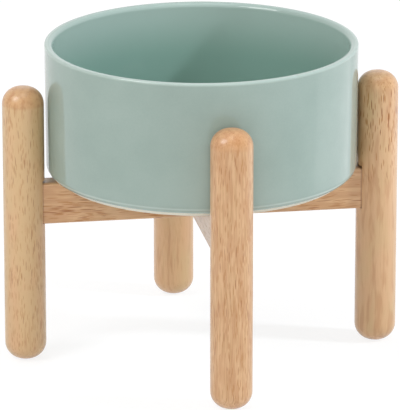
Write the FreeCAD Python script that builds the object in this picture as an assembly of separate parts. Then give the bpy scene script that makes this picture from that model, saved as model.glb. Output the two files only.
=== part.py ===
import FreeCAD, Part
import math
import os

# A raised pet bowl: a glazed ceramic bowl standing on two crossed wooden frames.
# Each frame is two round legs and one rail, glued and dowelled. The two rails cross in a half lap.
# Millimetres. The origin is on the floor under the bowl's centre and +Z is up.
# The right leg stands on +X, the back leg on +Y.

# Bowl
bowl_diameter = 169.0
bowl_height = 74.0
bowl_taper = 0.3  # radius lost from the rim down to the bottom corner
bowl_wall = 4.6
bowl_floor = 5.0  # thickness of the bowl's bottom
rim_outer_rounding = 1.2
rim_flat = 0.8  # level strip between the two roundings of the rim
bottom_corner_radius = 5.5
inner_corner_radius = 14.0
foot_step = 1.0  # flat underside between the bottom corner and the foot ring
foot_height = 2.0
foot_width = 6.0

# Legs
leg_diameter = 22.5
leg_length = 153.0
leg_end_flat = 4.0  # diameter of the level spot on each domed end
bowl_leg_clearance = 1.25

# Rails
rail_thickness = 12.0
rail_height = 23.0
rail_top = 100.0  # height of the seat above the floor
rail_edge_radius = 1.5
lap_clearance = 0.25  # each side of a rail in the other rail's notch

# Joints between rails and legs
mortise_depth = 5.0  # from the leg's inner side to the mortise floor
mortise_side_clearance = 0.2
mortise_top_clearance = 1.2
dowel_diameter = 6.0
dowel_in_leg = 10.0
dowel_in_rail = 20.0
dowel_chamfer = 0.6
dowel_clearance = 0.1  # glue film round a dowel
dowel_end_clearance = 0.5  # glue pocket past each end of a dowel

# Sizes that follow from the ones above
rim_radius = bowl_diameter / 2
rim_inner_rounding = bowl_wall - rim_flat - rim_outer_rounding
corner_radius = rim_radius - bowl_taper
foot_outer_radius = corner_radius - bottom_corner_radius - foot_step
foot_inner_radius = foot_outer_radius - foot_width
leg_radius = leg_diameter / 2
leg_end_rounding = leg_radius - leg_end_flat / 2
leg_circle_radius = rim_radius + bowl_leg_clearance + leg_radius
rail_bottom = rail_top - rail_height
rail_middle = rail_bottom + rail_height / 2
rail_end = leg_circle_radius - leg_radius + mortise_depth
mortise_width = rail_thickness + 2 * mortise_side_clearance
lap_width = rail_thickness + 2 * lap_clearance
dowel_wall = (rail_height - 2 * dowel_diameter) / 3  # equal above, between and below the two dowels
dowel_offset = (dowel_wall + dowel_diameter) / 2

origin = FreeCAD.Vector(0, 0, 0)
up = FreeCAD.Vector(0, 0, 1)
outward = FreeCAD.Vector(1, 0, 0)

leg_names = ("right", "back", "left", "front")  # in turn round the stand
leg_turns = {name: index * 360 / len(leg_names) for index, name in enumerate(leg_names)}
dowel_heights = {"upper": rail_middle + dowel_offset, "lower": rail_middle - dowel_offset}


def rounded_outline(corners):
    """Closed face in the XZ plane through corners given as (x, z, rounding)."""
    edges = []
    ends = []
    for index, (x, z, rounding) in enumerate(corners):
        corner = FreeCAD.Vector(x, 0, z)
        before_x, before_z, _ = corners[index - 1]
        after_x, after_z, _ = corners[(index + 1) % len(corners)]
        before = (FreeCAD.Vector(before_x, 0, before_z) - corner).normalize()
        after = (FreeCAD.Vector(after_x, 0, after_z) - corner).normalize()
        if rounding == 0:
            ends.append((corner, corner))
            continue
        half_angle = before.getAngle(after) / 2
        reach = rounding / math.tan(half_angle)
        start = corner + before * reach
        finish = corner + after * reach
        inward = (before + after).normalize()
        middle = corner + inward * (rounding / math.sin(half_angle) - rounding)
        edges.append(Part.Arc(start, middle, finish).toShape())
        ends.append((start, finish))
    for index, (start, _) in enumerate(ends):
        previous_finish = ends[index - 1][1]
        edges.append(Part.LineSegment(previous_finish, start).toShape())
    return Part.Face(Part.Wire(Part.__sortEdges__(edges)))


def turned_about_axis(corners):
    """Solid of revolution about Z from an outline of (radius, height, rounding) corners."""
    return rounded_outline(corners).revolve(origin, up, 360)


def block(low_x, high_x, width_y, low_z, high_z):
    """Box between two X and two Z planes, centred on Y."""
    corner = FreeCAD.Vector(low_x, -width_y / 2, low_z)
    return Part.makeBox(high_x - low_x, width_y, high_z - low_z, corner)


def at_leg(shape, side):
    """Shape made at the right leg, turned round the stand to another leg."""
    placed = shape.copy()
    placed.rotate(origin, up, leg_turns[side])
    return placed


def make_bowl():
    """Straight-walled bowl with a rounded rim, a rounded bottom corner and a foot ring."""
    inner_floor = foot_height + bowl_floor
    profile = [
        (0, foot_height, 0),
        (foot_inner_radius, foot_height, 0),
        (foot_inner_radius, 0, 0),
        (foot_outer_radius, 0, 0),
        (foot_outer_radius, foot_height, 0),
        (corner_radius, foot_height, bottom_corner_radius),
        (rim_radius, bowl_height, rim_outer_rounding),
        (rim_radius - bowl_wall, bowl_height, rim_inner_rounding),
        (corner_radius - bowl_wall, inner_floor, inner_corner_radius),
        (0, inner_floor, 0),
    ]
    bowl = turned_about_axis(profile)
    bowl.translate(up * rail_top)
    return bowl


def make_dowel_bore(height):
    """Hole for one dowel, running from the rail's end grain into the leg."""
    start = FreeCAD.Vector(rail_end - dowel_in_rail - dowel_end_clearance, 0, height)
    length = dowel_in_rail + dowel_in_leg + 2 * dowel_end_clearance
    return Part.makeCylinder(dowel_diameter / 2 + dowel_clearance, length, start, outward)


def make_dowel(height):
    """Glue dowel with chamfered ends, lying along X at the right leg."""
    radius = dowel_diameter / 2
    length = dowel_in_rail + dowel_in_leg
    start = FreeCAD.Vector(rail_end - dowel_in_rail, 0, height)
    dowel = Part.makeCylinder(radius, length, start, outward)
    rims = [edge for edge in dowel.Edges if edge.Closed]
    return dowel.makeChamfer(dowel_chamfer, rims)


def make_leg():
    """Round leg with domed ends, a mortise for the rail and two dowel holes, at the right."""
    profile = [
        (0, 0, 0),
        (leg_radius, 0, leg_end_rounding),
        (leg_radius, leg_length, leg_end_rounding),
        (0, leg_length, 0),
    ]
    leg = turned_about_axis(profile)
    leg.translate(outward * leg_circle_radius)
    inner_side = leg_circle_radius - leg_diameter
    leg = leg.cut(block(inner_side, rail_end, mortise_width, rail_bottom, rail_top + mortise_top_clearance))
    for height in dowel_heights.values():
        leg = leg.cut(make_dowel_bore(height))
    return leg


def make_rail(notch_low, notch_high):
    """Rail along X with rounded long edges, dowel holes in both ends and a half lap notch."""
    rail = block(-rail_end, rail_end, rail_thickness, rail_bottom, rail_top)
    long_edges = [edge for edge in rail.Edges if edge.BoundBox.XLength > rail_end]
    rail = rail.makeFillet(rail_edge_radius, long_edges)
    for side in ("right", "left"):
        for height in dowel_heights.values():
            rail = rail.cut(at_leg(make_dowel_bore(height), side))
    return rail.cut(block(-lap_width / 2, lap_width / 2, rail_thickness, notch_low, notch_high))


nodes = {"bowl": make_bowl()}
nodes["lower_rail"] = make_rail(rail_middle, rail_top)
nodes["upper_rail"] = at_leg(make_rail(rail_bottom, rail_middle), "back")
leg = make_leg()
for side in leg_turns:
    nodes[f"{side}_leg"] = at_leg(leg, side)
    for level, height in dowel_heights.items():
        nodes[f"{side}_{level}_dowel"] = at_leg(make_dowel(height), side)

os.makedirs("parts", exist_ok=True)
for name, shape in nodes.items():
    solid = shape.Solids[0]
    solid.exportStep(f"parts/{name}.step")
    box = solid.BoundBox
    print(f"{name}: {len(shape.Solids)} solid, valid {solid.isValid()}, {solid.Volume / 1000:.2f} cm3, "
          f"z {box.ZMin:.2f} to {box.ZMax:.2f}")
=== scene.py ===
import math

import bmesh
import bpy
import numpy as np
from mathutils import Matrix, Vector


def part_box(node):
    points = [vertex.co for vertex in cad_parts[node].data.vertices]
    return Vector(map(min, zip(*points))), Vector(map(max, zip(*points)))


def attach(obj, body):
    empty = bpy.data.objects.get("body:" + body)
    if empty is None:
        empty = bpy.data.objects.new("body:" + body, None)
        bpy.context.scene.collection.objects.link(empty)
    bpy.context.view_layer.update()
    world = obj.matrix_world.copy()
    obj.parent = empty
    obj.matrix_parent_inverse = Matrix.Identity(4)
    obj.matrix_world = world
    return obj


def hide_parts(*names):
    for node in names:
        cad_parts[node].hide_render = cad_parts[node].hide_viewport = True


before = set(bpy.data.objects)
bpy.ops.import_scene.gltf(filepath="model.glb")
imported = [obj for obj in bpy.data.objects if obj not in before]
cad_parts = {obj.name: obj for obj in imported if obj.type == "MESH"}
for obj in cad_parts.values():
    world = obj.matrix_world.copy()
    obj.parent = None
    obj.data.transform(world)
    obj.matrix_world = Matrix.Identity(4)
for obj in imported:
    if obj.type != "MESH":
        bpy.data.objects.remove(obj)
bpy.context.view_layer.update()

# A raised pet bowl: a sage glazed bowl on a lacquered stand of two crossed frames.
# Metres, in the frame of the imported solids: +Z up, right leg on +X, back leg on +Y.
mm = 0.001

# Sizes read from the frame
bowl_low, bowl_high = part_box("bowl")
rim_radius = bowl_high.x
seat_height = bowl_low.z
rim_height = bowl_high.z
leg_low, leg_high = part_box("right_leg")
leg_radius = (leg_high.y - leg_low.y) / 2
leg_height = leg_high.z
leg_centre = (leg_low.x + leg_high.x) / 2
rail_low, rail_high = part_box("lower_rail")
rail_end = rail_high.x
rail_half_thickness = rail_high.y
rail_middle = (rail_low.z + rail_high.z) / 2
dowel_low, dowel_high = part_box("right_upper_dowel")
dowel_radius = (dowel_high.y - dowel_low.y) / 2
dowel_lift = (dowel_low.z + dowel_high.z) / 2 - rail_middle

# Sizes of the bowl that its box does not show
bowl_wall = 4.6 * mm
bowl_floor = 5.0 * mm
bowl_taper = 0.3 * mm
rim_outer_rounding = 1.2 * mm
rim_inner_rounding = 2.6 * mm
bottom_rounding = 5.5 * mm
inner_rounding = 14.0 * mm
foot_step = 1.0 * mm
foot_height = 2.0 * mm
foot_width = 6.0 * mm
foot_edge_rounding = 0.5 * mm

# Sizes of the joints that the boxes do not show
leg_end_rounding = leg_radius - 2.0 * mm
rail_edge_rounding = 1.5 * mm
mortise_half_width = rail_half_thickness + 0.2 * mm
mortise_top = rail_high.z + 1.2 * mm
lap_half_width = rail_half_thickness + 0.25 * mm
bore_radius = dowel_radius + 0.1 * mm
bore_past_dowel = 0.5 * mm

# Fineness of the surfaces
weld_distance = 0.001 * mm
longest_step = 1.0 * mm
step_slack = 1e-6  # keeps a run that is a whole number of steps from gaining one more
arc_steps = 10
bowl_turns = 240
leg_turns = 72
mortise_columns = 15
sharp_edge = math.radians(40)


def unit(vector):
    """The vector divided by its own length."""
    return vector / np.linalg.norm(vector)


def rounded_outline(corners):
    """Outline through (across, height, rounding) corners, as an array of points.

    A rounding is the arc that touches both sides of its corner. Its centre lies on the corner's bisector at
    rounding / sin(half the corner's angle), and it starts at rounding / tan(half the angle) along a side.
    """
    places = np.array(corners, float)[:, :2]
    runs = []
    for index, (*_, rounding) in enumerate(corners):
        corner = places[index]
        if rounding == 0:
            runs.append(corner[None])
            continue
        before = unit(places[index - 1] - corner)
        after = unit(places[(index + 1) % len(places)] - corner)
        half_angle = math.acos(before @ after) / 2
        reach = rounding / math.tan(half_angle)
        centre = corner + unit(before + after) * rounding / math.sin(half_angle)
        start_x, start_y = corner + before * reach - centre
        finish_x, finish_y = corner + after * reach - centre
        sweep = math.atan2(start_x * finish_y - start_y * finish_x, start_x * finish_x + start_y * finish_y)
        angle = math.atan2(start_y, start_x) + sweep * np.linspace(0, 1, arc_steps)
        runs.append(centre + rounding * np.stack([np.cos(angle), np.sin(angle)], 1))
    return np.concatenate(runs)


def filled(outline):
    """The open outline with each straight run cut into equal steps, none over the longest step."""
    run = np.diff(outline, axis=0)
    length = np.linalg.norm(run, axis=1)
    counts = np.maximum(1, np.ceil(length / longest_step - step_slack)).astype(int)
    start = np.repeat(outline[:-1], counts, axis=0)
    step = np.repeat(run / counts[:, None], counts, axis=0)
    place = np.arange(counts.sum()) - np.repeat(np.cumsum(counts) - counts, counts)
    return np.concatenate([start + step * place[:, None], outline[-1:]])


def rings(points, kept=None):
    """Faces over a grid of points whose columns close into rings.

    Each face joins two neighbours on two rows. Where kept is given, it picks the faces by row and column.
    """
    rows, columns = points.shape[:2]
    row, column = np.meshgrid(np.arange(rows - 1), np.arange(columns), indexing="ij")
    after = (column + 1) % columns
    low = row * columns
    high = low + columns
    faces = np.stack((low + column, low + after, high + after, high + column), -1)
    if kept is not None:
        faces = faces[kept]
    return points.reshape(-1, 3), faces.reshape(-1, 4).tolist()


def fan(ring, pole):
    """Triangles from each step of a ring to one pole."""
    count = len(ring)
    first = np.arange(count)
    faces = np.stack([first, (first + 1) % count, np.full(count, count)], 1)
    return np.concatenate([ring, np.array(pole, float)[None]]), faces.tolist()


def joined(patches):
    """One surface from several patches, each patch's faces moved past the points before it."""
    points = np.concatenate([patch_points for patch_points, _ in patches])
    faces = []
    start = 0
    for patch_points, patch_faces in patches:
        faces += [[start + corner for corner in face] for face in patch_faces]
        start += len(patch_points)
    return points, faces


def turned(surface, degrees):
    """The surface turned about the upright axis: x, y become x cos - y sin, x sin + y cos."""
    points, faces = surface
    cosine = math.cos(math.radians(degrees))
    sine = math.sin(math.radians(degrees))
    x, y, z = points.T
    return np.stack([x * cosine - y * sine, x * sine + y * cosine, z], 1), faces


def shifted(surface, x):
    """The surface moved along X."""
    points, faces = surface
    return points + np.array([x, 0, 0]), faces


def lathe(outline, turns):
    """Surface of revolution: the outline point (r, z) at angle a is (r cos a, r sin a, z).

    The outline starts and ends on the axis, at two poles that each close with a fan.
    """
    angle = np.linspace(0, 2 * np.pi, turns, endpoint=False)
    radius, height = outline[1:-1, :, None].transpose(1, 0, 2)
    points = np.stack(np.broadcast_arrays(radius * np.cos(angle), radius * np.sin(angle), height), -1)
    low_pole = (0, 0, outline[0, 1])
    high_pole = (0, 0, outline[-1, 1])
    return joined([rings(points), fan(points[0], low_pole), fan(points[-1], high_pole)])


def bored(edge, centre_height, face_x, bottom_x):
    """Flat patch at face_x with one dowel bore in it, from the patch's edge of (y, z) points.

    Its rows are the edge, the bore's mouth, the bore's bottom and the pole in its middle. A mouth point lies
    on the ray from the bore's centre to its edge point, at the bore's radius.
    """
    centre = np.array([0, centre_height])
    ray = edge - centre
    circle = centre + bore_radius * ray / np.linalg.norm(ray, axis=1, keepdims=True)
    yz = np.stack([edge, circle, circle])
    x = np.broadcast_to(np.array([face_x, face_x, bottom_x])[:, None, None], (3, len(edge), 1))
    points = np.concatenate([x, yz], -1)
    return joined([rings(points), fan(points[-1], (bottom_x, 0, centre_height))])


def bowl_surface():
    """Turned bowl: the outline below, carried round the upright axis.

    It runs from the middle of the underside round the foot ring, up the wall, over the rim and down to the
    middle of the inner floor.
    """
    corner_radius = rim_radius - bowl_taper
    underside = seat_height + foot_height
    inner_floor = underside + bowl_floor
    foot_outer = corner_radius - bottom_rounding - foot_step
    foot_inner = foot_outer - foot_width
    outline = rounded_outline([
        (0, underside, 0),
        (foot_inner, underside, foot_edge_rounding),
        (foot_inner, seat_height, foot_edge_rounding),
        (foot_outer, seat_height, foot_edge_rounding),
        (foot_outer, underside, foot_edge_rounding),
        (corner_radius, underside, bottom_rounding),
        (rim_radius, rim_height, rim_outer_rounding),
        (rim_radius - bowl_wall, rim_height, rim_inner_rounding),
        (corner_radius - bowl_wall, inner_floor, inner_rounding),
        (0, inner_floor, 0),
    ])
    return lathe(outline, bowl_turns)


def leg_surface():
    """Turned leg on its own axis with a mortise and two dowel bores on its -X side.

    A grid point is radius(height) times the unit circle. Inside the mortise it keeps its y and height, and
    its x goes to the mortise floor. The rows and columns at the mortise's edges come twice, on the round and
    on the floor, which makes the mortise's walls. Two bored patches take the place of the floor's own faces.
    """
    lower_end = [(0, 0, 0), (leg_radius, 0, leg_end_rounding), (leg_radius, leg_height / 2, 0)]
    dome = rounded_outline(lower_end)[1:-1]
    below = filled(np.array([dome[-1], (leg_radius, rail_low.z)]))
    above = filled(np.array([(leg_radius, mortise_top), (leg_radius, leg_height - leg_end_rounding)]))
    top_dome = dome[::-1] * (1, -1) + (0, leg_height)
    lower_half = filled(np.array([(leg_radius, rail_low.z), (leg_radius, rail_middle)]))
    upper_half = filled(np.array([(leg_radius, rail_middle), (leg_radius, mortise_top)]))
    inside = np.concatenate([lower_half, upper_half[1:]])
    profile = np.concatenate([dome[:-1], below, inside, above, top_dome[1:]])
    first_row = len(dome) - 1 + len(below)
    row_inside = np.zeros(len(profile), bool)
    row_inside[first_row:first_row + len(inside)] = True

    edge_angle = math.asin(mortise_half_width / leg_radius)
    mortise_angle = np.linspace(-edge_angle, edge_angle, mortise_columns)
    round_angle = np.linspace(edge_angle, 2 * math.pi - edge_angle, leg_turns)
    angle = math.pi + np.concatenate([mortise_angle, round_angle])
    column_inside = np.arange(len(angle)) < mortise_columns

    radius, height = profile.T[:, :, None]
    mortise_floor = rail_end - leg_centre
    in_mortise = row_inside[:, None] & column_inside
    x = np.where(in_mortise, mortise_floor, radius * np.cos(angle))
    points = np.stack(np.broadcast_arrays(x, radius * np.sin(angle), height), -1)
    whole = in_mortise & np.roll(in_mortise, -1, 1)
    on_floor = whole[:-1] & whole[1:]

    bottom_x = dowel_high.x + bore_past_dowel - leg_centre
    across = points[first_row, :mortise_columns, 1]
    patches = [rings(points, ~on_floor), fan(points[0], (0, 0, 0)), fan(points[-1], (0, 0, leg_height))]
    for side, up in ((lower_half[:, 1], -1), (upper_half[:, 1], 1)):
        edge = np.concatenate([
            np.stack([across, np.full(len(across), side[0])], 1)[:-1],
            np.stack([np.full(len(side), across[-1]), side], 1)[:-1],
            np.stack([across[::-1], np.full(len(across), side[-1])], 1)[:-1],
            np.stack([np.full(len(side), across[0]), side[::-1]], 1)[:-1],
        ])
        patches.append(bored(edge, rail_middle + up * dowel_lift, mortise_floor, bottom_x))
    return joined(patches)


def rail_surface(kept_low, kept_high):
    """Rail along X: a rounded rectangle carried along it, its height held to the kept part at the half lap.

    The two stations at each side of the lap lie in one place, one whole and one cut, which makes the lap's
    walls. Each end is two bored patches that meet at the middle of the rail.
    """
    half_height = rail_high.z - rail_middle
    upper = filled(rounded_outline([
        (rail_half_thickness, 0, 0),
        (rail_half_thickness, half_height, rail_edge_rounding),
        (-rail_half_thickness, half_height, rail_edge_rounding),
        (-rail_half_thickness, 0, 0),
    ]))
    lower = -upper
    section = np.concatenate([upper[:-1], lower[:-1]]) + (0, rail_middle)
    lap = lap_half_width
    station = np.array([-rail_end, -lap, -lap, lap, lap, rail_end])
    cut = np.array([False, False, True, True, False, False])
    y, z = section.T
    height = np.where(cut[:, None], np.clip(z, kept_low, kept_high), z)
    points = np.stack(np.broadcast_arrays(station[:, None], y, height), -1)
    patches = [rings(points)]
    middle = filled(upper[[-1, 0]])
    bore_end = dowel_low.x - bore_past_dowel
    for half, up in ((upper, 1), (lower, -1)):
        edge = np.concatenate([half[:-1], up * middle[:-1]]) + (0, rail_middle)
        for end in (-1, 1):
            patches.append(bored(edge, rail_middle + up * dowel_lift, end * rail_end, end * bore_end))
    return joined(patches)


class Value:
    """One varying input of a finish. Arithmetic on it adds Math nodes."""

    def __init__(self, finish, socket):
        self.finish = finish
        self.socket = socket

    def output(self, name):
        """Another output of the same node."""
        return Value(self.finish, self.socket.node.outputs[name])

    def __add__(self, other):
        return self.finish.math("ADD", self, other)

    def __sub__(self, other):
        return self.finish.math("SUBTRACT", self, other)

    def __rsub__(self, other):
        return self.finish.math("SUBTRACT", other, self)

    def __mul__(self, other):
        return self.finish.math("MULTIPLY", self, other)

    __radd__ = __add__
    __rmul__ = __mul__


class Finish:
    """Node tree of one material or world, filled from expressions."""

    def __init__(self, owner):
        owner.use_nodes = True
        self.owner = owner
        self.tree = owner.node_tree
        self.tree.nodes.clear()

    def node(self, kind, settings=None, inputs=None, output=0):
        """One node: its settings first, then a value or a link on each named socket."""
        made = self.tree.nodes.new(kind)
        for name, value in (settings or {}).items():
            setattr(made, name, value)
        for name, value in (inputs or {}).items():
            if isinstance(value, Value):
                self.tree.links.new(value.socket, made.inputs[name])
            else:
                made.inputs[name].default_value = value
        return Value(self, made.outputs[output]) if made.outputs else None

    def math(self, operation, first, second=0):
        """One Math node. An operation on one value leaves the second alone."""
        return self.node("ShaderNodeMath", {"operation": operation}, {0: first, 1: second})

    def place(self, location=(0, 0, 0), turn=(0, 0, 0), scale=(1, 1, 1)):
        """The piece's own coordinates: scaled, then turned, then moved."""
        own = self.node("ShaderNodeTexCoord", output="Object")
        inputs = {"Vector": own, "Location": location, "Rotation": turn, "Scale": scale}
        return self.node("ShaderNodeMapping", None, inputs)

    def stretched(self, vector, scale):
        """The vector times a scale for each axis."""
        return self.node("ShaderNodeVectorMath", {"operation": "MULTIPLY"}, {0: vector, 1: scale})

    def wavered(self, vector, noise_scale, reach):
        """The vector pushed about by a slow noise, by up to half of reach on each axis."""
        noise = self.noise(vector, noise_scale, 1).output("Color")
        middle = (0.5, 0.5, 0.5)
        centred = self.node("ShaderNodeVectorMath", {"operation": "SUBTRACT"}, {0: noise, 1: middle})
        inputs = {0: centred, 1: reach, 2: vector}
        return self.node("ShaderNodeVectorMath", {"operation": "MULTIPLY_ADD"}, inputs)

    def noise(self, vector, scale=1, detail=2, roughness=0.5):
        """Noise from 0 to 1 about 0.5."""
        inputs = {"Vector": vector, "Scale": scale, "Detail": detail, "Roughness": roughness}
        return self.node("ShaderNodeTexNoise", None, inputs)

    def step(self, value, start, end):
        """0 below start, 1 above end and a smooth rise between."""
        inputs = {"Value": value, "From Min": start, "From Max": end}
        return self.node("ShaderNodeMapRange", {"interpolation_type": "SMOOTHSTEP"}, inputs)

    def pores(self, grain, across, along, share):
        """Short dashes along the grain, 0 to 1, in the given share of cells of the given size.

        A cell is taken where its own chance and the share come to 1. Its dash is 1 in the cell's middle and
        fades to 0 between the pore's core and its edge, which are distances in cells.
        """
        core = 0.26
        edge = 0.42
        softness = 0.03
        size = self.stretched(grain, (1 / across, 1 / across, 1 / along))
        inputs = {"Vector": size, "Scale": 1, "Randomness": 1}
        cell = self.node("ShaderNodeTexVoronoi", {"feature": "F1"}, inputs)
        chance = self.node("ShaderNodeSeparateColor", None, {"Color": cell.output("Color")})
        chosen = self.step(chance + share, 1 - softness, 1 + softness)
        return (1 - self.step(cell, core, edge)) * chosen

    def mix(self, share, first, second):
        """The first colour at share 0 and the second at share 1."""
        return self.node("ShaderNodeMix", {"data_type": "RGBA"}, {0: share, 6: first, 7: second}, 2)

    def bump(self, height, depth):
        """Normal of a surface raised by height times depth, in metres."""
        return self.node("ShaderNodeBump", None, {"Strength": 1, "Distance": depth, "Height": height})

    def surface(self, **inputs):
        """One principled surface, with socket names in words joined by underscores."""
        named = {name.replace("_", " "): value for name, value in inputs.items()}
        return self.node("ShaderNodeBsdfPrincipled", None, named)

    def done(self, shader, kind="ShaderNodeOutputMaterial"):
        """The material or world, with the shader on its output."""
        self.node(kind, None, {"Surface": shader})
        return self.owner


def colour(red, green, blue):
    """Opaque colour from linear shares of red, green and blue."""
    return (red, green, blue, 1)


# Colours
glaze_deep = colour(0.292, 0.380, 0.338)
glaze_pale = colour(0.328, 0.415, 0.372)
# Inside colours: the glaze's own tint, with painted light under the rim and painted shade lower down
glaze_upper_inside_tint_and_light = colour(0.370, 0.474, 0.432)
glaze_deep_inside_tint_and_shade = colour(0.243, 0.380, 0.328)
# Thin glaze and a painted highlight, on the rim and on a line above the foot
glaze_thin_and_highlight = colour(0.440, 0.535, 0.490)
clay_pale = colour(0.900, 0.860, 0.760)
clay_grey = colour(0.800, 0.750, 0.640)
wood_straw = colour(0.635, 0.420, 0.208)
wood_peach = colour(0.665, 0.400, 0.208)
wood_tan = colour(0.550, 0.308, 0.135)
wood_russet = colour(0.500, 0.240, 0.096)
fine_pore = colour(0.400, 0.145, 0.016)
deep_pore = colour(0.300, 0.090, 0.010)
wood_end = colour(0.600, 0.310, 0.130)
wood_end_dark = colour(0.460, 0.190, 0.062)
# Glue line and painted shadow where a rail enters a leg
joint_glue_and_shade = colour(0.260, 0.110, 0.036)
beech_pale = colour(0.620, 0.440, 0.280)
beech_brown = colour(0.480, 0.310, 0.180)
floor_bounce = colour(0.8, 0.8, 0.79)
floor_shade = colour(0.2, 0.2, 0.2)
white = colour(1, 1, 1)

# Patterns are drawn in millimetres: their scales say how often they repeat in one
per_mm = (1 / mm,) * 3
cloud_scale = 0.035
ripple_scale = 0.06
speck_scale = 0.9
grit_scale = 3.0
waver_scale = 0.03
mottle_scale = 0.3

# Wood patterns have a scale across, across and along the grain
patch_scale = (0.09, 0.09, 0.03)
cluster_scale = (0.14, 0.14, 0.04)
streak_scale = (0.40, 0.40, 0.05)
fibre_scale = (1.4, 1.4, 0.06)
fleck_scale = (2.5, 2.5, 0.5)

# Depth of each finish's relief
glaze_relief = 0.1 * mm
pore_relief = 0.04 * mm
fleck_relief = 0.05 * mm


def glaze_finish():
    """Gloss sage glaze over pale clay.

    It lies in a darker, greener tint down inside the bowl, with painted light under the rim and painted shade
    lower down, where the rim shades the inside. Over the rim and along a line above the bottom edge of the
    wall it is paler, partly thinner glaze and partly a painted highlight, and it is wiped off the foot ring.
    Heights and radii are in millimetres here, and a waver is how far a line on the glaze wanders.
    """
    rim_top = rim_height / mm
    underside = (seat_height + foot_height) / mm
    wall_middle = (rim_radius - bowl_wall / 2) / mm
    inside_shade_start = rim_top - 2
    inside_shade_full = rim_top - 33
    rim_thin_and_highlight_start = rim_top - 1.9
    rim_thin_and_highlight_full = rim_top - 0.7
    rim_waver = 0.8
    rim_thin_and_highlight_share = 0.8
    edge_height = underside + 3.2
    edge_thin_and_highlight_half_width = 0.2
    edge_fade_half_width = 0.9
    wipe_height = underside - 0.35
    wipe_softness = 0.1
    wipe_waver = 0.3

    finish = Finish(bpy.data.materials.new("sage_glaze"))
    place = finish.place(scale=per_mm)
    height = finish.node("ShaderNodeSeparateXYZ", None, {"Vector": place}, "Z")
    flat = finish.stretched(place, (1, 1, 0))
    radius = finish.node("ShaderNodeVectorMath", {"operation": "LENGTH"}, {0: flat}, "Value")
    cloud = finish.noise(place, cloud_scale, 3)
    speck = finish.noise(place, speck_scale, 2)
    body = finish.mix(finish.step(cloud * 0.8 + speck * 0.2, 0.3, 0.7), glaze_deep, glaze_pale)

    # Inside: painted light under the rim fading to painted shade lower down, over the glaze's own greener
    # tint
    inside = 1 - finish.step(radius, wall_middle - 1, wall_middle + 1)
    depth = 1 - finish.step(height, inside_shade_full, inside_shade_start)
    body = finish.mix(inside, body, finish.mix(depth, glaze_upper_inside_tint_and_light, glaze_deep_inside_tint_and_shade))

    # Paler over the rim and along a line above the bottom edge: thinner glaze and a painted highlight
    on_rim = finish.step(height + (cloud - 0.5) * rim_waver, rim_thin_and_highlight_start, rim_thin_and_highlight_full)
    rim_thin_and_highlight = on_rim * finish.step(radius, wall_middle - 0.2, wall_middle + 0.8) * rim_thin_and_highlight_share
    from_edge = finish.math("ABSOLUTE", height - edge_height)
    edge_thin_and_highlight = 1 - finish.step(from_edge, edge_thin_and_highlight_half_width, edge_fade_half_width)
    body = finish.mix(rim_thin_and_highlight + edge_thin_and_highlight, body, glaze_thin_and_highlight)

    wavering = height + (speck - 0.5) * wipe_waver
    bare = 1 - finish.step(wavering, wipe_height - wipe_softness, wipe_height + wipe_softness)
    grit = finish.noise(place, grit_scale, 4)
    clay = finish.mix(grit, clay_grey, clay_pale)
    ripple = finish.noise(place, ripple_scale, 1)
    shader = finish.surface(
        Base_Color=finish.mix(bare, body, clay),
        Roughness=0.05 + bare * 0.7,
        IOR=1.52,
        Normal=finish.bump(ripple + grit * bare * 0.05, glaze_relief),
    )
    return finish.done(shader)


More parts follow.
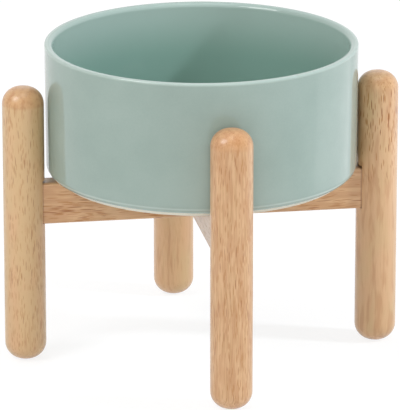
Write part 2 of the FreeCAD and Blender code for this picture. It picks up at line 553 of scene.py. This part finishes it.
def wood_finish(name, offset, warmth, tan, pore_length, pore_depth, grain_turn=(0, 0, 0), end_tint=None,
                plain_below=0):
    """Pale hardwood with short brown pores along the grain, under satin lacquer.

    The coordinates are in millimetres, turned so that the grain runs along Z and moved so that each piece
    shows other wood. Soft patches, tan fibres and russet streaks tint the body: tan is the fibres' share, and
    a higher warmth gives more peach and more russet. Fine and deep pores lie in it in groups. A leg has an
    end tint: mottled end grain shows on its top dome, and its colour darkens the spot the leg stands on as
    end grain and painted contact shade; the streaks are stronger near the top, and the pores fade out below
    a height. A rail has none, and a brown line where it meets the round of a leg: a glue line and the painted
    shadow of the joint's gap.
    """
    waver_reach = (3, 3, 0)
    fine_width = 0.55
    deep_width = 0.75
    deep_length = 1.3 * pore_length
    streak_strength = 0.5
    more_streaks_at_top = 0.08
    streaks_start = leg_height - 3.5 * leg_end_rounding
    streaks_full = leg_height - 0.5 * leg_end_rounding
    dome_start = leg_height - 1.15 * leg_end_rounding
    dome_full = leg_height - 0.9 * leg_end_rounding
    foot_full = 0.5 * mm
    foot_end = 3.5 * mm
    foot_grain_and_shade_share = 0.7
    plain_fade = 15 * mm
    joint_glue_and_shade_strength = 0.5

    finish = Finish(bpy.data.materials.new(name))
    grain = finish.place(location=offset, turn=grain_turn, scale=per_mm)
    grain = finish.wavered(grain, waver_scale, waver_reach)
    patch = finish.noise(finish.stretched(grain, patch_scale)) + 2 * warmth
    fibre = finish.noise(finish.stretched(grain, fibre_scale))
    streak = finish.noise(finish.stretched(grain, streak_scale)) + warmth
    cluster = finish.noise(finish.stretched(grain, cluster_scale)) - 0.5
    body = finish.mix(finish.step(patch, 0.35, 0.65), wood_straw, wood_peach)
    body = finish.mix(finish.step(fibre, 0.4, 0.7) * tan, body, wood_tan)
    pored = 1
    if end_tint:
        height = finish.node("ShaderNodeSeparateXYZ", None, {"Vector": finish.place()}, "Z")
        on_dome = finish.step(height, dome_start, dome_full)
        # The lowest millimetres of a leg: end grain and painted contact shade where it stands on the floor
        foot_grain_and_shade = 1 - finish.step(height, foot_full, foot_end)
        streak = streak + finish.step(height, streaks_start, streaks_full) * more_streaks_at_top
        pored = finish.step(height, plain_below - plain_fade, plain_below + plain_fade) * (1 - on_dome * 0.5)
    body = finish.mix(finish.step(streak, 0.52, 0.72) * streak_strength, body, wood_russet)
    if end_tint:
        mottle = finish.step(finish.noise(grain, mottle_scale), 0.45, 0.65)
        end_grain = finish.mix(mottle, wood_end, wood_end_dark)
        body = finish.mix(on_dome * end_tint + foot_grain_and_shade * foot_grain_and_shade_share, body, end_grain)
    fine = finish.pores(grain, fine_width, pore_length, cluster * 1.8 + 0.5) * pored
    deep = finish.pores(grain, deep_width, deep_length, cluster * 1.5 + 0.15) * pored
    body = finish.mix(fine * pore_depth, body, fine_pore)
    body = finish.mix(deep * pore_depth, body, deep_pore)
    # Brown line where a rail enters a leg: a glue line and the painted shadow of the joint's gap
    if not end_tint:
        body = finish.mix(glue_and_shade_line(finish) * joint_glue_and_shade_strength, body, joint_glue_and_shade)
    shader = finish.surface(
        Base_Color=body,
        Roughness=0.5 + fine * 0.15 + (fibre - 0.5) * 0.12,
        IOR=1.5,
        Coat_Weight=0.8,
        Coat_Roughness=0.25,
        Normal=finish.bump(fibre * 0.2 - fine * 0.5 - deep, pore_relief),
    )
    return finish.done(shader)


def glue_and_shade_line(finish):
    """1 on a rail near the round of the leg it enters, 0 elsewhere: glue line and painted shadow of the gap.

    In plan a leg's axis lies at leg_centre along the rail, so the distance to its round is the length of
    (along - leg_centre, across) less the leg's radius.
    """
    place = finish.node("ShaderNodeVectorMath", {"operation": "ABSOLUTE"}, {0: finish.place()})
    x = finish.node("ShaderNodeSeparateXYZ", None, {"Vector": place}, "X")
    y = x.output("Y")
    along = finish.math("MAXIMUM", x, y) - leg_centre
    across = finish.math("MINIMUM", x, y)
    from_leg = finish.math("SQRT", along * along + across * across) - leg_radius
    line_full = 0.1 * mm
    line_end = 0.7 * mm
    return 1 - finish.step(from_leg, line_full, line_end)


def dowel_finish(name, grain_turn):
    """Bare beech with short brown flecks along the dowel."""
    finish = Finish(bpy.data.materials.new(name))
    grain = finish.place(turn=grain_turn, scale=per_mm)
    fleck = finish.noise(finish.stretched(grain, fleck_scale), detail=3, roughness=0.6)
    shader = finish.surface(
        Base_Color=finish.mix(finish.step(fleck, 0.35, 0.65), beech_brown, beech_pale),
        Roughness=0.6 + (fleck - 0.5) * 0.2,
        Normal=finish.bump(fleck, fleck_relief),
    )
    return finish.done(shader)


def make_piece(node, name, body, finish, surface):
    """Mesh object welded from the surface, smooth but for its sharp edges.

    It rides on its body and takes the place of its node.
    """
    points, faces = surface
    mesh = bpy.data.meshes.new(name)
    mesh.from_pydata(points, [], faces)
    shape = bmesh.new()
    shape.from_mesh(mesh)
    bmesh.ops.remove_doubles(shape, verts=shape.verts, dist=weld_distance)
    bmesh.ops.dissolve_degenerate(shape, edges=shape.edges, dist=weld_distance)
    bmesh.ops.recalc_face_normals(shape, faces=shape.faces)
    shape.to_mesh(mesh)
    shape.free()
    mesh.shade_smooth()
    mesh.set_sharp_from_angle(angle=sharp_edge)
    mesh.materials.append(finish)
    piece = bpy.data.objects.new(name, mesh)
    bpy.context.scene.collection.objects.link(piece)
    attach(piece, body)
    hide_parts(node)


# Bowl
make_piece("bowl", "glazed_bowl", "bowl", glaze_finish(), bowl_surface())

# Legs, each with its own stretch of wood
leg_places = {
    "right": (0, "lower_frame"),
    "back": (90, "upper_frame"),
    "left": (180, "lower_frame"),
    "front": (270, "upper_frame"),
}
leg_woods = {
    "right": {
        "offset": (310, 40, 0), "warmth": 0.05, "tan": 0.25, "pore_length": 7, "pore_depth": 1.0,
        "end_tint": 0.1, "plain_below": 95 * mm,
    },
    "back": {
        "offset": (-75, 620, 90), "warmth": 0.02, "tan": 0.1, "pore_length": 7, "pore_depth": 0.14,
        "end_tint": 0.4,
    },
    "left": {
        "offset": (820, -260, 45), "warmth": -0.04, "tan": 0.1, "pore_length": 6, "pore_depth": 0.5,
        "end_tint": 0.55,
    },
    "front": {
        "offset": (140, 905, 30), "warmth": 0.11, "tan": 1.0, "pore_length": 7, "pore_depth": 0.62,
        "end_tint": 0.45,
    },
}
leg_shape = shifted(leg_surface(), leg_centre)
for side, (turn, body) in leg_places.items():
    leg_wood = wood_finish(f"{side}_leg_wood", **leg_woods[side])
    placed = turned(leg_shape, turn)
    make_piece(f"{side}_leg", f"{side}_leg_turned", body, leg_wood, placed)

# Rails
grain_along_x = (0, math.radians(-90), 0)
grain_along_y = (math.radians(90), 0, 0)
lower_wood = wood_finish(
    "lower_rail_wood", offset=(55, 410, 0), warmth=0.17, tan=0.8, pore_length=11, pore_depth=0.85,
    grain_turn=grain_along_x,
)
upper_wood = wood_finish(
    "upper_rail_wood", offset=(-330, 150, 0), warmth=0.05, tan=0.5, pore_length=12, pore_depth=0.8,
    grain_turn=grain_along_y,
)
lower_shape = rail_surface(rail_low.z, rail_middle)
upper_shape = turned(rail_surface(rail_middle, rail_high.z), 90)
make_piece("lower_rail", "lower_rail_sawn", "lower_frame", lower_wood, lower_shape)
make_piece("upper_rail", "upper_rail_sawn", "upper_frame", upper_wood, upper_shape)

# Dowels keep their solids
dowel_turns = {"right": grain_along_x, "left": grain_along_x, "back": grain_along_y, "front": grain_along_y}
for side, turn in dowel_turns.items():
    beech = dowel_finish(f"{side}_dowel_beech", turn)
    for level in ("upper", "lower"):
        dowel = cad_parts[f"{side}_{level}_dowel"]
        dowel.data.materials.clear()
        dowel.data.materials.append(beech)

# Camera at the photograph's viewing angle
camera_turn = math.radians(-9.36)
camera_lift = math.radians(17.48)
camera_distance = 2.4
camera_sidestep = -0.75 * mm
camera_sensor = 36
camera_lens = 387.6
aim = Vector((0, 0, 0.0817))

# Stage
floor_reach = 25.0
floor_glow = 0.84
even_light = 0.32
cool_white = (0.94, 1.0, 1.07)


def seen_from(turn, lift):
    """Unit vector from the stand at an angle to the camera's right and above the floor."""
    angle = camera_turn + turn
    flat = math.cos(lift)
    return Vector((math.sin(angle) * flat, -math.cos(angle) * flat, math.sin(lift)))


def make_camera():
    """Camera on the line from the aim at the viewing angle, a little to the left of it."""
    right = Vector((math.cos(camera_turn), math.sin(camera_turn), 0))
    back = seen_from(0, camera_lift)
    camera = bpy.data.objects.new("camera", bpy.data.cameras.new("camera"))
    camera.data.sensor_width = camera_sensor
    camera.data.lens = camera_lens
    camera.data.clip_end = 4 * floor_reach
    camera.location = aim + camera_sidestep * right + camera_distance * back
    camera.rotation_euler = (-back).to_track_quat("-Z", "Y").to_euler()
    bpy.context.scene.collection.objects.link(camera)
    bpy.context.scene.camera = camera


def make_floor():
    """Wide pale floor that shows white with a soft shadow, to the camera and in gloss."""
    finish = Finish(bpy.data.materials.new("pale_floor"))
    rays = finish.node("ShaderNodeLightPath", output="Is Camera Ray")
    spread = finish.node("ShaderNodeBsdfDiffuse", None, {"Color": floor_bounce})
    shaded = finish.node("ShaderNodeBsdfDiffuse", None, {"Color": floor_shade})
    glow = finish.node("ShaderNodeEmission", None, {"Color": white, "Strength": floor_glow})
    lifted = finish.node("ShaderNodeAddShader", None, {0: shaded, 1: glow})
    seen = finish.math("MAXIMUM", rays, rays.output("Is Glossy Ray"))
    shader = finish.node("ShaderNodeMixShader", None, {0: seen, 1: spread, 2: lifted})
    mesh = bpy.data.meshes.new("floor")
    corners = [(x * floor_reach, y * floor_reach, 0) for x, y in ((-1, -1), (1, -1), (1, 1), (-1, 1))]
    mesh.from_pydata(corners, [], [(0, 1, 2, 3)])
    mesh.materials.append(finish.done(shader))
    floor = bpy.data.objects.new("floor", mesh)
    bpy.context.scene.collection.objects.link(floor)


def make_world():
    """White all round for the camera and in gloss, with a weak even light on the pieces."""
    world = bpy.data.worlds.new("studio")
    finish = Finish(world)
    rays = finish.node("ShaderNodeLightPath", output="Is Camera Ray")
    strength = rays + rays.output("Is Glossy Ray") + rays.output("Is Diffuse Ray") * even_light
    shader = finish.node("ShaderNodeBackground", None, {"Color": white, "Strength": strength})
    finish.done(shader, "ShaderNodeOutputWorld")
    bpy.context.scene.world = world


def make_lamp(name, turn, lift, distance, size, power, tint=(1, 1, 1), in_gloss=False, in_diffuse=True):
    """Soft box of a width and height, aimed at the stand, that the camera does not see.

    It stands at a distance, at angles in degrees to the camera's right and above the floor.
    """
    light = bpy.data.lights.new(name, "AREA")
    light.shape = "RECTANGLE"
    light.size, light.size_y = size
    light.energy = power
    light.color = tint
    lamp = bpy.data.objects.new(name, light)
    lamp.location = distance * seen_from(math.radians(turn), math.radians(lift))
    lamp.rotation_euler = (aim - lamp.location).to_track_quat("-Z", "Y").to_euler()
    lamp.visible_camera = False
    lamp.visible_glossy = in_gloss
    lamp.visible_diffuse = in_diffuse
    bpy.context.scene.collection.objects.link(lamp)


make_floor()
make_world()
make_camera()
make_lamp("key_lamp", 80.5, 36, 2.5, (0.2, 0.2), 34, tint=cool_white)
make_lamp("left_soft_box", -57, 47, 1.5, (0.6, 0.6), 8.5, in_gloss=True)
make_lamp("front_soft_box", 0, 14, 3.0, (2.0, 0.8), 18.5)
make_lamp("top_soft_box", 0, 80, 2.0, (1.0, 1.0), 4.5, in_gloss=True)
make_lamp("right_side_card", 100, 20, 1.5, (0.8, 0.8), 0.6)
make_lamp("back_card", -145, 25, 2.0, (1.0, 1.0), 9)
make_lamp("right_floor_card", 104.5, 18, 0.32, (0.25, 0.2), 0.075, in_gloss=True, in_diffuse=False)
bpy.context.scene.view_settings.view_transform = "Standard"
